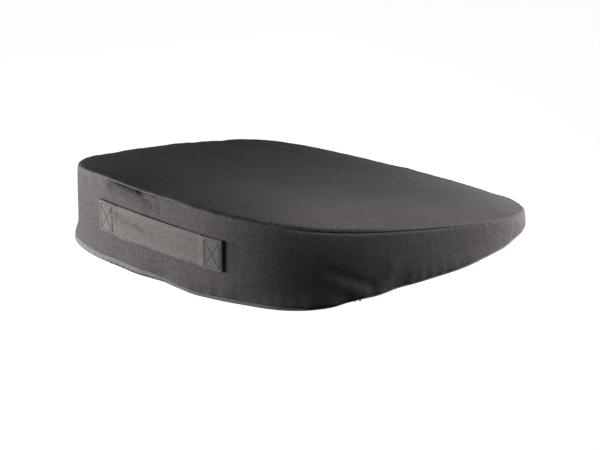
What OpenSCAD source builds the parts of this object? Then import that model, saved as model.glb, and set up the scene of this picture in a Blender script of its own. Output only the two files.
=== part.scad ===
// Wedge seat cushion: a foam wedge in a sewn, zipped cover with a carry handle.
// The thick back wall with the handle faces -Y and the thin front edge faces +Y.
// The cushion lies on the plane z = 0, with the origin under the middle of its box.

/* [Cushion] */
// Width at half depth
mid_w = 402; // [360:1:440]
// Depth from the back wall to the front edge
depth = 403; // [360:1:440]
// Height of the rim at the back wall
back_h = 90.8; // [80:0.1:110]
// Height of the rim at the front edge
front_h = 16.3; // [16:0.1:22]
// Power of the rounded-square outline, where 2 is an ellipse
outline_power = 3.74; // [3.2:0.02:4.4]
// Share by which the front is wider and the back narrower than the middle
front_flare = 0.124; // [0:0.002:0.16]
// Power of the fall from back to front, where 1 is straight and more is dished
slope_power = 1.1; // [1:0.05:1.3]
// Rise of the padded top above its rim, at the middle
crown_h = 8; // [0:0.5:10]
// Swell of the side wall between its two seams
wall_swell = 1.2; // [0.5:0.1:2]
// Flare of the wall and base at the ground
low_flare = 3.4; // [0:0.1:4]

/* [Cover] */
// Thickness of the cover fabric
fabric_t = 1.2; // [0.8:0.1:1.5]
// Height of the lower seam above the ground
lower_seam_h = 5.5; // [5:0.1:6]
// Drop of the upper seam below the rim at the back wall
back_seam_drop = 2.5; // [2.2:0.1:5]
// Drop of the upper seam below the rim on the sides and the front
side_seam_drop = 3.6; // [3:0.1:6.5]
// Width over which each edge rolls from the wall to the flat
edge_roll = 6; // [4:0.5:8]
// Diameter of the seam threads
thread_d = 0.7; // [0.4:0.1:0.9]

/* [Zip] */
// Distance from the back wall to the zip, along the base
zip_from_back = 53; // [48:1:70]
// Length of the opening that the zip closes
zip_l = 280; // [240:2:290]
// Width of the recess that the zip lies in
recess_w = 16; // [14:1:20]
// Height of the zip tapes above the ground
zip_z = 7; // [6.8:0.1:8]
// Length of the slider
slider_l = 11; // [9:0.5:13]
// Length of the pull, from its pin to its tip
pull_l = 20; // [16:0.5:22]

/* [Handle] */
// Length of the handle over its sewn ends
handle_l = 167; // [150:1:180]
// Width of the handle webbing
strap_w = 32; // [25:1:38]
// Thickness of one layer of webbing
strap_t = 1.5; // [1:0.1:1.8]
// Height of the middle of the handle above the ground
handle_z = 50; // [44:0.5:51]
// Distance of the middle of the handle to the right of the middle of the wall
handle_x = 2.9; // [-4:0.1:4]
// Tilt of the handle, which lifts its left end
handle_tilt = 1.5; // [0:0.5:3]
// Length of each sewn, doubled end
sewn_l = 23; // [20:1:26]
// Length of the middle span that is gripped
grip_l = 60; // [50:1:70]
// Slack of the free span, as a bow away from the wall
strap_bow = 1; // [0:0.1:2]

/* [Hidden] */

half_w = mid_w / 2;
half_d = depth / 2;
// Points round each ring of the cover and of the foam
cover_n = 72;
foam_n = 48;
// Room between the layers of the cover and the foam
layer_gap = 0.4;
// Room at a sewn joint between two panels
seam_gap = 0.3;
// Overlap of a cutting block beyond what it cuts
cut = 1;
// Height over which the flare falls off, and how much less it is at the front
flare_reach = 10;
flare_fade = 0.75;
// Power of the crown's fall towards the rim
crown_power = 4;
// How far the foam's shoulder stays below the upper seam
foam_drop = 1.5;
// Room between the wall and the webbing
strap_clear = 0.4;

// How far the handle stands off the wall, layer by layer, and how far it reaches out
strap_in = wall_swell + strap_clear;
strap_mid = strap_in + strap_t;
strap_out = strap_mid + strap_t;
free_half = handle_l / 2 - sewn_l;
// Sections: shares from the middle to the rim, and shares of the wall's height
top_shares = [0.3, 0.6, 0.8, 0.92];
wall_shares = [0.12, 0.3, 0.55, 0.8];
foam_shares = [0.3, 0.6];
// How far the front wall reaches past the outline
front_out = max([for (f = wall_shares) swell(f) + flare(90, level_z(90, 1 + f, 0))]);
// The outline is set back by half of what the handle adds, so that the box is centred
plan_y = (strap_out + strap_bow - front_out) / 2;

// Zip sizes
zip_y = plan_y - half_d + zip_from_back;
tape_t = 0.6;
tooth = [1.6, 2.6, 2.4];
tooth_pitch = 2.5;
// Slit between the two rows of teeth, which the slider's post runs in
slit = 1;
// Bare tape beyond the teeth at each end
chain_end = 14;
chain_l = zip_l - 2 * chain_end;
stop_l = 3;
stop_gap = 0.5;
tooth_z = zip_z + tape_t / 2;
tape_in = slit / 2 + tooth.y;
// How far a tape reaches past the turned-up edge, and the foam's room round it
tape_margin = 2;
tape_clear = 1;
groove_rise = 5;
tape_out = recess_w / 2 + fabric_t + tape_margin;
slider_clear = 0.3;
slider_t = 1;
rail_t = 1;
slider_half_w = tape_in + slider_clear + rail_t;
// Room between the slider and the closed end of the teeth
slider_rest = 1;
slider_x = chain_l / 2 - slider_l / 2 - slider_rest;
post_l = 4;
post_clear = 0.2;
pin_r = 0.6;
eye_r = 1.6;
eye_w = 3.2;
// Room round the pull's eye, under the slider and on the pin
eye_clear = 0.5;
pin_clear = 0.25;
pin_z = zip_z - tooth.z / 2 - slider_t - slider_clear - eye_r - eye_clear;
pull_t = 1.2;
pull_w = 7.5;
pull_hole_r = 1.4;
// Where the pull's neck starts and its plate begins, from the pin
neck_from = 1;
neck_to = 6;
plate_from = 4;
bail_t = 0.9;
bail_wall = 0.4;
stitch_l = 3;
stitch_pitch = 4;
// Share of a stitch's pitch before it comes up
stitch_lead = (1 - stitch_l / stitch_pitch) / 2;
// How far the handle's stitches lie off the webbing, and inside its inner, outer and long edges
thread_lift = 0.1;
box_in = 2;
box_out = 3.5;
box_edge = 2.5;
cross_share = 0.1;

fabric_colour = "#3f3c3d";
base_colour = "#4a4848";
strap_colour = "#6f6c69";
thread_colour = "#2b292a";
foam_colour = "#d9d4c6";
tape_colour = "#242325";
tooth_colour = "#2f2e30";
metal_colour = "#5b5c60";

// Outline of the cushion seen from above: a superellipse that widens towards the front
function plan(c) =
  let (k = 2 / outline_power,
       x = half_w * sign(cos(c)) * pow(abs(cos(c)), k),
       y = half_d * sign(sin(c)) * pow(abs(sin(c)), k))
  [x * (1 + front_flare * y / half_d), y];

// Outward direction of the outline, from its neighbouring points
function plan_normal(c) =
  let (t = plan(c + 1) - plan(c - 1))
  [t.y, -t.x] / norm(t);

// The outline moved outwards by a distance, or inwards where the distance is negative
function plan_off(c, off) = plan(c) + off * plan_normal(c);

// Distance of the back wall's outline behind the middle, at a distance across
function back_y(x) =
  plan_y - half_d * pow(1 - pow(abs(x) / (half_w * (1 - front_flare)), outline_power), 1 / outline_power);

// Height of the top surface at a distance towards the front, without its crown
function rim_h(y) =
  front_h + (back_h - front_h) * pow(max(0, min(1, (half_d - y) / depth)), slope_power);

// Share of the way from the back wall to the sides, round the corner
function side_share(c) =
  let (s = max(0, min(1, (plan(c).y / half_d + 0.95) / 0.25)))
  s * s * (3 - 2 * s);

// Height of the upper seam, following the rim
function upper_seam_h(c) =
  rim_h(plan(c).y) - back_seam_drop - (side_seam_drop - back_seam_drop) * side_share(c);

// Outward flare of the wall and base at a height, less towards the front
function flare(c, z) =
  low_flare * (1 - flare_fade * (1 + plan(c).y / half_d) / 2) * exp(-z / flare_reach);

// Outward swell of the wall at a share of the height between its seams, fullest low down
function swell(f) = wall_swell * sin(180 * pow(f, 0.6));

// One ring of n points at an offset from the outline, at a height given by a share and a lift:
// share 0 is the ground, 1 the lower seam, 2 the upper seam and 3 the rim
function level_z(c, level, lift) =
  let (low = lower_seam_h, high = upper_seam_h(c), top = rim_h(plan(c).y))
  lift + (level <= 1 ? low * level
        : level <= 2 ? low + (high - low) * (level - 1)
        : high + (top - high) * (level - 2));
function ring(n, off, level, lift = 0) = [
  for (i = [0:n - 1])
    let (c = 360 * i / n, z = level_z(c, level, lift), p = plan_off(c, off + flare(c, z)))
    [p.x, p.y + plan_y, z]];

// One ring of n points on the top, drawn in towards the middle by a share, with the crown's rise
function top_ring(n, share, off, lift) = [
  for (i = [0:n - 1])
    let (p = share * plan_off(360 * i / n, off))
    [p.x, p.y + plan_y, rim_h(p.y) + crown_h * (1 - pow(share, crown_power)) + lift]];
function top_pole(lift) = [0, plan_y, rim_h(0) + crown_h + lift];

// Triangles between two rings of n points, and from a ring to a pole
function strip(i, j, n) = [
  for (k = [0:n - 1])
    let (a = i * n + k, b = i * n + (k + 1) % n, c = j * n + (k + 1) % n, d = j * n + k)
    each [[a, c, b], [a, d, c]]];
function fan(i, n, pole, up) = [
  for (k = [0:n - 1])
    let (a = i * n + k, b = i * n + (k + 1) % n)
    up ? [a, pole, b] : [a, b, pole]];
function joined(rings) = [for (r = rings) each r];

// A closed skin through rings from a lower pole to an upper pole
module between_poles(low_pole, rings, high_pole) {
  count = len(rings);
  n = len(rings[0]);
  faces = concat(
    fan(0, n, count * n, false),
    [for (i = [0:count - 2]) each strip(i, i + 1, n)],
    fan(count - 1, n, count * n + 1, true));
  polyhedron(concat(joined(rings), [low_pole, high_pole]), faces);
}

// A closed hoop through rings that go up outside and down inside
module hoop(rings) {
  count = len(rings);
  n = len(rings[0]);
  polyhedron(joined(rings), [for (i = [0:count - 1]) each strip(i, (i + 1) % count, n)]);
}

// A round thread along a seam, at an offset from the outline
module seam_thread(off, level) {
  sides = 4;
  hoop([for (i = [0:sides - 1])
    let (turn = 360 * i / sides - 90)
    ring(cover_n, off + thread_d / 2 * cos(turn), level, thread_d / 2 * sin(turn))]);
}

// A straight stitch from one point to another
module stitch(p, q) {
  v = q - p;
  translate(p)
    rotate([0, acos(v.z / norm(v)), atan2(v.y, v.x)])
      cylinder(d = thread_d, h = norm(v), $fn = 24);
}

// Rolled edges: share of the roll's width and level, outside and inside the fabric
shoulder = [[0.12, 2.5], [0.4, 2.82]];
shoulder_lining = [0.35, 2.6];
base_edge = [[0.4, 0.2], [0.1, 0.55]];
base_lining = [0.4, 0.3];

module foam_core() color(foam_colour) difference() {
  skin = fabric_t + layer_gap;
  lid = skin + layer_gap;
  thread_room = skin + thread_d + 2 * layer_gap;
  n = foam_n;
  between_poles(
    [0, plan_y, skin],
    concat(
      [ring(n, -2 * edge_roll, 0, skin),
       ring(n, -edge_roll, 0.5, layer_gap),
       ring(n, -thread_room, 1)],
      [for (f = foam_shares) ring(n, swell(f) - skin, 1 + f)],
      [ring(n, -thread_room, 2, -foam_drop),
       top_ring(n, 1, -1.5 * edge_roll, -lid - layer_gap),
       top_ring(n, 1, -2 * edge_roll, -lid)],
      [for (i = [3:-1:0]) top_ring(n, top_shares[i], -2 * edge_roll, -lid)]),
    top_pole(-lid));
  groove_w = 2 * (tape_out + tape_clear);
  groove_l = zip_l + 2 * (fabric_t + tape_margin);
  translate([-groove_l / 2, zip_y - groove_w / 2, -cut])
    cube([groove_l, groove_w, zip_z + groove_rise + cut]);
}

module top_panel() color(fabric_colour) {
  n = cover_n;
  t = fabric_t;
  seam = seam_gap / 2;
  between_poles(
    top_pole(-t),
    concat(
      [for (s = top_shares) top_ring(n, s, -edge_roll, -t)],
      [top_ring(n, 1, -edge_roll, -t),
       ring(n, -shoulder_lining[0] * edge_roll - t, shoulder_lining[1], -t / 2),
       ring(n, -t, 2, seam),
       ring(n, 0, 2, seam)],
      [for (p = shoulder) ring(n, -p[0] * edge_roll, p[1])],
      [top_ring(n, 1, -edge_roll, 0)],
      [for (i = [3:-1:0]) top_ring(n, top_shares[i], -edge_roll, 0)]),
    top_pole(0));
}

module side_band() color(fabric_colour) {
  n = cover_n;
  t = fabric_t;
  seam = seam_gap / 2;
  hoop(concat(
    [ring(n, 0, 1, seam)],
    [for (f = wall_shares) ring(n, swell(f), 1 + f)],
    [ring(n, 0, 2, -seam), ring(n, -t, 2, -seam)],
    [for (i = [3:-1:0]) ring(n, swell(wall_shares[i]) - t, 1 + wall_shares[i])],
    [ring(n, -t, 1, seam)]));
}

// The whole base, with its edge rolled up to the lower seam
module base_form() {
  n = cover_n;
  t = fabric_t;
  seam = seam_gap / 2;
  between_poles(
    [0, plan_y, 0],
    concat(
      [ring(n, -edge_roll, 0)],
      [for (p = base_edge) ring(n, -p[0] * edge_roll, p[1])],
      [ring(n, 0, 1, -seam),
       ring(n, -t, 1, -seam),
       ring(n, -base_lining[0] * edge_roll - t, base_lining[1], t),
       ring(n, -edge_roll - t, 0, t)]),
    [0, plan_y, t]);
}

// The part of the base on one side of the zip: 1 is in front of it and -1 behind it
module base_side(side) {
  reach = mid_w;
  keep_from = zip_y + side * seam_gap / 2;
  recess = [zip_l, recess_w];
  difference() {
    base_form();
    translate([-reach, side > 0 ? keep_from - reach : keep_from, -cut])
      cube([2 * reach, reach, zip_z + 2 * cut]);
    translate([-zip_l / 2, zip_y - recess_w / 2, -cut])
      cube([zip_l, recess_w, zip_z + 2 * cut]);
  }
  // The edge is turned up round the recess to meet the zip tape
  linear_extrude(zip_z)
    difference() {
      translate([0, zip_y])
        square(recess + 2 * [fabric_t, fabric_t], center = true);
      translate([0, zip_y])
        square(recess, center = true);
      translate([-reach, side > 0 ? keep_from - reach : keep_from])
        square([2 * reach, reach]);
    }
}

module base_front() color(base_colour) base_side(1);
module base_rear() color(base_colour) base_side(-1);

module upper_seam_thread() color(thread_colour)
  seam_thread(-fabric_t - layer_gap - thread_d / 2, 2);
module lower_seam_thread() color(thread_colour)
  seam_thread(-fabric_t - layer_gap - thread_d / 2, 1);

// One zip tape, lying on the turned-up edge of the base
module zip_tape(side)
  translate([-zip_l / 2 - fabric_t, zip_y + (side > 0 ? tape_in : -tape_out), zip_z])
    cube([zip_l + 2 * fabric_t, tape_out - tape_in, tape_t]);

module zip_tape_front() color(tape_colour) zip_tape(1);
module zip_tape_rear() color(tape_colour) zip_tape(-1);

// One row of moulded teeth, half a pitch out of step with the other row
module zip_teeth(side) {
  count = floor(chain_l / tooth_pitch) - 1;
  first = -chain_l / 2 + (side > 0 ? 0 : tooth_pitch / 2);
  for (i = [0:count - 1])
    translate([first + i * tooth_pitch,
               zip_y + (side > 0 ? slit / 2 : -slit / 2 - tooth.y),
               tooth_z - tooth.z / 2])
      cube(tooth);
}

module zip_teeth_front() color(tooth_colour) zip_teeth(1);
module zip_teeth_rear() color(tooth_colour) zip_teeth(-1);

// A stop across both rows at the open end, and a pair of stops at the closed end
module zip_stops() color(tooth_colour) {
  low = tooth_z - tooth.z / 2;
  translate([-chain_l / 2 - stop_l - stop_gap, zip_y - tape_in, low])
    cube([stop_l, 2 * tape_in, tooth.z]);
  for (side = [0, 1])
    translate([chain_l / 2 + stop_gap, zip_y + (side ? slit / 2 : -slit / 2 - tooth.y), low])
      cube([stop_l, tooth.y, tooth.z]);
}

// Rows of stitches along the tapes, seen inside the recess
module zip_thread() color(thread_colour) {
  count = floor(zip_l / stitch_pitch) - 1;
  start = -count * stitch_pitch / 2;
  for (side = [-1, 1], i = [0:count - 1])
    translate([start + i * stitch_pitch, zip_y + side * (recess_w / 2 - tape_clear), zip_z - thread_d / 2])
      rotate([0, 90, 0])
        cylinder(d = thread_d, h = stitch_l, $fn = 24);
}

// Section of the slider across the zip: two plates with turned edges and a post between them
module slider_section() {
  inner = tooth.z / 2 + slider_clear;
  rail = inner - tape_t / 2 - slider_clear;
  for (side = [-1, 1]) {
    translate([-slider_half_w, side > 0 ? inner : -inner - slider_t])
      square([2 * slider_half_w, slider_t]);
    for (edge = [-1, 1])
      translate([edge > 0 ? slider_half_w - rail_t : -slider_half_w, side > 0 ? inner - rail : -inner])
        square([rail_t, rail]);
  }
}

module zip_slider() color(metal_colour) {
  inner = tooth.z / 2 + slider_clear;
  post_t = slit - 2 * post_clear;
  plate_low = tooth_z - inner - slider_t;
  bail_in = eye_w / 2 + slider_clear;
  translate([slider_x, zip_y, 0]) {
    translate([0, 0, tooth_z]) {
      rotate([90, 0, 90])
        linear_extrude(slider_l, center = true)
          slider_section();
      translate([-post_l / 2, -post_t / 2, -inner - slider_t / 2])
        cube([post_l, post_t, 2 * inner + slider_t]);
    }
    for (side = [-1, 1])
      translate([-pin_r - bail_wall, side > 0 ? bail_in : -bail_in - bail_t, pin_z - pin_r])
        cube([2 * (pin_r + bail_wall), bail_t, plate_low - pin_z + pin_r + slider_t / 2]);
    translate([0, 0, pin_z])
      rotate([90, 0, 0])
        cylinder(r = pin_r, h = 2 * bail_in + bail_t, center = true, $fn = 32);
  }
}

// The pull hangs by its eye on the slider's pin and lies along the closed zip
module zip_pull() color(metal_colour) {
  tip_r = pull_w / 2;
  translate([slider_x, zip_y, pin_z])
    difference() {
      union() {
        rotate([90, 0, 0])
          cylinder(r = eye_r, h = eye_w, center = true, $fn = 48);
        translate([0, 0, -pull_t / 2])
          linear_extrude(pull_t)
            difference() {
              union() {
                translate([-neck_to, -eye_w / 2])
                  square([neck_to - neck_from, eye_w]);
                translate([tip_r - pull_l, -tip_r])
                  square([pull_l - tip_r - plate_from, pull_w]);
                translate([tip_r - pull_l, 0])
                  circle(r = tip_r, $fn = 48);
              }
              translate([tip_r - pull_l, 0])
                circle(r = pull_hole_r, $fn = 32);
            }
      }
      rotate([90, 0, 0])
        cylinder(r = pin_r + pin_clear, h = 2 * eye_w, center = true, $fn = 32);
    }
}

// Bow of the free span away from the wall, none at the sewn ends
function bow(x) = abs(x) < free_half ? strap_bow * pow(cos(90 * x / free_half), 2) : 0;

// Distance of the back wall behind the middle, at a distance across from the handle's middle
function wall_y(x) = back_y(x + handle_x);

// A length of webbing along the back wall, from one distance across to another, between two stand-offs
module webbing(from, to, near, far) {
  steps = 10;
  xs = [for (i = [0:steps]) from + (to - from) * i / steps];
  translate([0, 0, handle_z - strap_w / 2])
    linear_extrude(strap_w)
      polygon(concat(
        [for (x = xs) [x + handle_x, wall_y(x) - far - bow(x)]],
        [for (i = [steps:-1:0]) [xs[i] + handle_x, wall_y(xs[i]) - near - bow(xs[i])]]));
}

// A sewn end: two layers with a round fold at the tip
module handle_end(side) {
  fold_x = side * (handle_l / 2 - strap_t);
  inner_x = side * free_half;
  webbing(min(fold_x, inner_x), max(fold_x, inner_x), strap_in, strap_out);
  translate([fold_x + handle_x, wall_y(fold_x) - strap_mid, handle_z - strap_w / 2])
    cylinder(r = strap_t, h = strap_w, $fn = 48);
}

// Turns the handle by its tilt, about its middle
module tilted()
  translate([handle_x, 0, handle_z])
    rotate([0, handle_tilt, 0])
      translate([-handle_x, 0, -handle_z])
        children();

module handle_grip() color(strap_colour) tilted()
  webbing(-grip_l / 2 + seam_gap, grip_l / 2 - seam_gap, strap_mid, strap_out);
module handle_flex_left() color(strap_colour) tilted()
  webbing(-free_half, -grip_l / 2, strap_mid, strap_out);
module handle_flex_right() color(strap_colour) tilted()
  webbing(grip_l / 2, free_half, strap_mid, strap_out);
module handle_end_left() color(strap_colour) tilted() handle_end(-1);
module handle_end_right() color(strap_colour) tilted() handle_end(1);

// Stitches along a line on the face of a sewn end, given by two points across and up
module stitch_row(a, b) {
  span = norm(b - a);
  count = floor(span / stitch_pitch);
  step = (b - a) / count;
  function on_face(p) = [p.x + handle_x, wall_y(p.x) - strap_out - thread_d / 2 - thread_lift, p.y];
  for (i = [0:count - 1])
    stitch(on_face(a + (i + stitch_lead) * step), on_face(a + (i + 1 - stitch_lead) * step));
}

// A box of stitches with a cross in it
module box_stitch(side) {
  x1 = side * (free_half + box_in);
  x2 = side * (handle_l / 2 - box_out);
  z1 = handle_z - strap_w / 2 + box_edge;
  z2 = handle_z + strap_w / 2 - box_edge;
  corners = [[x1, z1], [x2, z1], [x2, z2], [x1, z2]];
  inset = [x2 - x1, z2 - z1] * cross_share;
  for (i = [0:3])
    stitch_row(corners[i], corners[(i + 1) % 4]);
  stitch_row(corners[0] + inset, corners[2] - inset);
  stitch_row(corners[1] + [-inset.x, inset.y], corners[3] + [inset.x, -inset.y]);
}

module handle_thread_left() color(thread_colour) tilted() box_stitch(-1);
module handle_thread_right() color(thread_colour) tilted() box_stitch(1);

foam_core();
top_panel();
side_band();
base_front();
base_rear();
upper_seam_thread();
lower_seam_thread();
zip_tape_front();
zip_tape_rear();
zip_teeth_front();
zip_teeth_rear();
zip_stops();
zip_thread();
zip_slider();
zip_pull();
handle_grip();
handle_flex_left();
handle_flex_right();
handle_end_left();
handle_end_right();
handle_thread_left();
handle_thread_right();
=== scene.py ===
"""Looks of a wedge seat cushion with a carry handle, built round its solids. Lengths are in metres.

The thick back wall with the handle faces -Y, the thin front edge faces +Y, and the base lies on z = 0.
Distances along the outline start in the middle of the back wall and grow towards +X.
"""

import bmesh
import bpy
import numpy as np
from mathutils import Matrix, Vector


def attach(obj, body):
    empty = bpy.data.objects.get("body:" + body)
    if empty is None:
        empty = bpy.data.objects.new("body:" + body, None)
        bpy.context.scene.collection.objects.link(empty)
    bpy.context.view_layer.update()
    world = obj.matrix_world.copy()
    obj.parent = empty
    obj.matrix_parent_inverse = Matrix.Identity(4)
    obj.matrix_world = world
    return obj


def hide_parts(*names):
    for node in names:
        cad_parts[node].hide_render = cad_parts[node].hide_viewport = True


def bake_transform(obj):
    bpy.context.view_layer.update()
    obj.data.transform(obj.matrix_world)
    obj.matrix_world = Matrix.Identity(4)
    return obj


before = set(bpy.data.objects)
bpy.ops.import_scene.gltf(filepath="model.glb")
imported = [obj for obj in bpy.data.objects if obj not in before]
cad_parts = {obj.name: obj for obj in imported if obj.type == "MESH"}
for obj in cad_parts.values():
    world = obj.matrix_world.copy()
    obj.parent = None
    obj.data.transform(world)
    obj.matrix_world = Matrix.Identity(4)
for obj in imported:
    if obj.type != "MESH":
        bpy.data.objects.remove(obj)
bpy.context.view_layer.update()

# Outline and heights of the cushion, as in the solids
HALF_W, HALF_D, PLAN_Y = 0.201, 0.2015, 0.001987
MIDDLE = np.array([0, PLAN_Y])
BACK_H, FRONT_H = 0.0908, 0.0163
OUTLINE_POWER, FRONT_FLARE, SLOPE_POWER = 3.74, 0.124, 1.1
CROWN_H, WALL_SWELL = 0.0080, 0.0012
FLARE, FLARE_REACH = 0.0034, 0.010
# Cover: fabric, the seams and the rolled edges
FABRIC_T = 0.0009
UPPER_DROP_BACK, UPPER_DROP_SIDE = 0.0020, 0.0036
LOWER_SEAM_Z, LOWER_RISE_BACK, LOWER_DROP_SIDE = 0.0042, 0.0035, 0.0018
SEAM_DIP, SEAM_REACH, SEAM_RIDGE_H, SEAM_INSIDE = 0.0018, 0.0009, 0.0016, 0.0028
TOP_ROLL, BASE_ROLL, BASE_PROUD = 0.0055, 0.0022, 0.0010
BASE_Z = 0.0006
# Rows of the meshes, and the distance within which points are joined
WALL_ROWS, SHOULDER_ROWS, TOP_ROWS, ROLL_ROWS, FLAT_ROWS = 48, 16, 52, 12, 15
JOIN = 1e-6
# Uneven places of the cover, each with its height, its distance along the outline and its reach
FOOT_BULGES = ((0.0038, -0.155, 0.045), (0.0034, 0.172, 0.035), (0.0022, 0.050, 0.016), (0.0024, -0.028, 0.018),
               (0.0046, 0.356, 0.040), (-0.0012, 0.008, 0.010), (-0.0022, 0.108, 0.022), (-0.0020, 0.207, 0.010),
               (-0.0034, 0.270, 0.020), (-0.0036, 0.462, 0.026))
FOOT_Z, FOOT_REACH = 0.005, 0.010
RIM_LUMPS = ((0.0012, 0.697, 0.012), (0.0007, -0.362, 0.014), (0.0006, 0.668, 0.010), (0.0007, 0.550, 0.014),
             (0.0026, -0.075, 0.040), (-0.0013, -0.245, 0.030), (-0.0014, -0.445, 0.022),
             (-0.0008, -0.590, 0.070), (-0.0010, 0.580, 0.024), (-0.0008, -0.406, 0.014))
EDGE_PUCKERS, EDGE_LIFT = ((0.0014, 0.222, 0.016),), 0.0004
# Stretches of the outline: where each starts, is full, begins to fade and ends
# The second span on the next line marks where shade is painted in the hollow below the raised seam.
RIDGE_SPAN, HOLLOW_SHADE_SPAN = (-0.078, -0.062, 0.020, 0.034), (-0.076, -0.052, -0.030, -0.016)
# The second span on the next line marks where a dark line of shade is painted along the rim.
SHARP_SPAN, RIM_SHADE_SPAN = (-0.16, -0.12, 0.02, 0.06), (0.026, 0.050, 0.20, 0.30)
SEAM_RISE_SPAN, SEAM_DROP_SPAN = (-0.19, -0.12, -0.02, 0.035), (0.13, 0.18, 0.5, 0.6)
# The second span on the next line marks a painted shadow on the lower part of the base roll.
LIFT_SPAN, PAINTED_SHADOW_SPAN = (-0.10, -0.06, 0.0, 0.03), (-0.090, -0.060, 0.15, 0.18)
# Random waves: seed, shortest and longest
RIM_WAVES, LOWER_SEAM_WAVES, PUCKER_WAVES = (3, 0.02, 0.06), (5, 0.03, 0.12), (11, 0.006, 0.018)
FOOT_WAVES, WALL_WAVES, TOP_WAVES = (12, 0.012, 0.035), (13, 0.05, 0.14), (21, 0.07, 0.2)
# Waves along the edge of the painted shadow on the base roll
PAINTED_SHADOW_WAVES = (31, 0.008, 0.020)
# Folds of the wall: height, the two ends as distance along and height above the ground, and reach
WALL_FOLDS = ((-0.0034, (-0.064, 0.0832), (-0.026, 0.0815), 0.0055),
              (-0.0013, (-0.020, 0.0855), (-0.011, 0.0700), 0.0035),
              (-0.0010, (0.003, 0.084), (0.005, 0.074), 0.0030),
              (0.0016, (0.026, 0.005), (0.036, 0.004), 0.011),
              (-0.0014, (0.190, 0.036), (0.234, 0.014), 0.0050),
              (0.0013, (0.200, 0.021), (0.228, 0.007), 0.0070),
              (0.0010, (0.261, 0.028), (0.253, 0.008), 0.0085))
# Painted shade along a crease below the raised seam: the two ends as distance along and height above the ground,
# and reach
PAINTED_CREASE_SHADE = ((-0.026, 0.0860), (-0.010, 0.0770), 0.0042)
# Grip dots of the base: rows and columns enough to cover it, and how far they stay clear of the zip
DOT_PITCH, DOT_RADIUS, DOT_ROWS, DOT_COLS = 0.0056, 0.0013, 44, 40
DOT_CLEAR_X, DOT_CLEAR_Y = 0.006, 0.004
# Foam
FOAM_SKIN, FOAM_GROOVE, FOAM_BASE_IN, FOAM_TOP_IN = 0.0022, 0.0105, 0.009, 0.011
# Zip in the base
ZIP_Y, ZIP_HALF, RECESS_HALF, ZIP_Z = -0.146513, 0.140, 0.008, 0.007
TOOTH, TOOTH_PITCH, SLIT, CHAIN_HALF = (0.0016, 0.0026, 0.0024), 0.0025, 0.001, 0.126
TAPE_T, TAPE_IN, TAPE_OUT = 0.0006, 0.0031, 0.0112
TAPE_TUCK, MOUTH_LIP, STOP_L, STOP_GAP = 0.0012, 0.0012, 0.003, 0.0005
# Sewing
THREAD_R, HANDLE_THREAD_R, STITCH_BOW = 0.00035, 0.00045, 0.0003
ZIP_STITCHES, ZIP_STITCH, ZIP_STITCH_STEP, ZIP_STITCH_IN, ZIP_STITCH_PROUD = 69, 0.003, 0.004, 0.001, 0.0001
# Handle webbing, and the box and cross that each of its ends is sewn with
STRAP_W, STRAP_T, STRAP_IN = 0.032, 0.0015, 0.0016
STRAP_HALF, FREE_HALF, GRIP_HALF, STRAP_BOW = 0.0835, 0.0605, 0.030, 0.001
STRAP_X, STRAP_Z, STRAP_TILT = 0.0029, 0.050, np.tan(np.radians(1.5))
BOX_IN, BOX_OUT, BOX_HALF, BOX_ROW_GAP, BOX_STITCH_GAP = 0.0625, 0.0803, 0.0133, 0.0008, 0.06
# Floor, background and the photograph's view: turn and rise in degrees, lens and sensor in millimetres
BACKGROUND, FLOOR_TONE, FLOOR_Z, FLOOR_HALF, LIT_THROUGH = 0.97, 0.32, -0.0002, 8.0, 0.014
LAMP_AIM = (0, 0, 0.04)
VIEW_TURN, VIEW_RISE, VIEW_DISTANCE, VIEW_AIM = 40.40, 20.34, 1.7715, (0.0112, 0.0022, 0.0050)
LENS_MM, SENSOR_MM = 99.53, 36.0


# Outline and height functions

def outline_at(turn):
    """Superellipse: the cosine and the sine, each to the power 2 / n with its sign kept, times the half sizes.
    The width grows in proportion to the distance towards the front."""
    share = 2 / OUTLINE_POWER
    across = np.sign(np.cos(turn)) * np.abs(np.cos(turn)) ** share
    ahead = np.sign(np.sin(turn)) * np.abs(np.sin(turn)) ** share
    return HALF_W * across * (1 + FRONT_FLARE * ahead), HALF_D * ahead


SIX_SIDES = np.linspace(0, 2 * np.pi, 7)
TURNS = np.radians(np.linspace(-90, 270, 200001))
REACHED = np.concatenate([[0], np.cumsum(np.hypot(*(np.diff(side) for side in outline_at(TURNS))))])
ROUND = REACHED[-1]
AROUND = np.linspace(0, ROUND, 721)


def outline(along):
    """Points of the outline at distances along it, and their outward directions, which are the slope of
    |x / width|^n + |y / depth|^n."""
    x, y = outline_at(np.interp(np.mod(along, ROUND), REACHED, TURNS))
    ahead = y / HALF_D
    width = HALF_W * (1 + FRONT_FLARE * ahead)
    across = x / width
    steep_x = np.sign(across) * np.abs(across) ** (OUTLINE_POWER - 1)
    steep_y = np.sign(ahead) * np.abs(ahead) ** (OUTLINE_POWER - 1)
    out = np.stack([steep_x / width,
                    steep_y / HALF_D - steep_x * across * HALF_W * FRONT_FLARE / HALF_D / width], -1)
    return np.stack([x, y + PLAN_Y], -1), out / np.linalg.norm(out, axis=-1, keepdims=True)


def back_y(x):
    """Y of the back wall's outline at a distance across: the superellipse solved for y."""
    across = np.abs(x) / (HALF_W * (1 - FRONT_FLARE))
    return PLAN_Y - HALF_D * (1 - across ** OUTLINE_POWER) ** (1 / OUTLINE_POWER)


def rim_height(y):
    """Height of the top without its crown: a power of the distance from the front edge."""
    share = np.clip((HALF_D - (y - PLAN_Y)) / (2 * HALF_D), 0, 1)
    return FRONT_H + (BACK_H - FRONT_H) * share ** SLOPE_POWER


def smooth(x, low, high):
    """Smooth step from 0 at low to 1 at high."""
    t = np.clip((x - low) / (high - low), 0, 1)
    return t * t * (3 - 2 * t)


def bell(x, at, reach):
    """Bell curve of height 1."""
    return np.exp(-((x - at) / reach) ** 2)


def signed(along):
    """Distance along the outline, from minus to plus half of its whole length."""
    return np.mod(along + ROUND / 2, ROUND) - ROUND / 2


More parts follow.
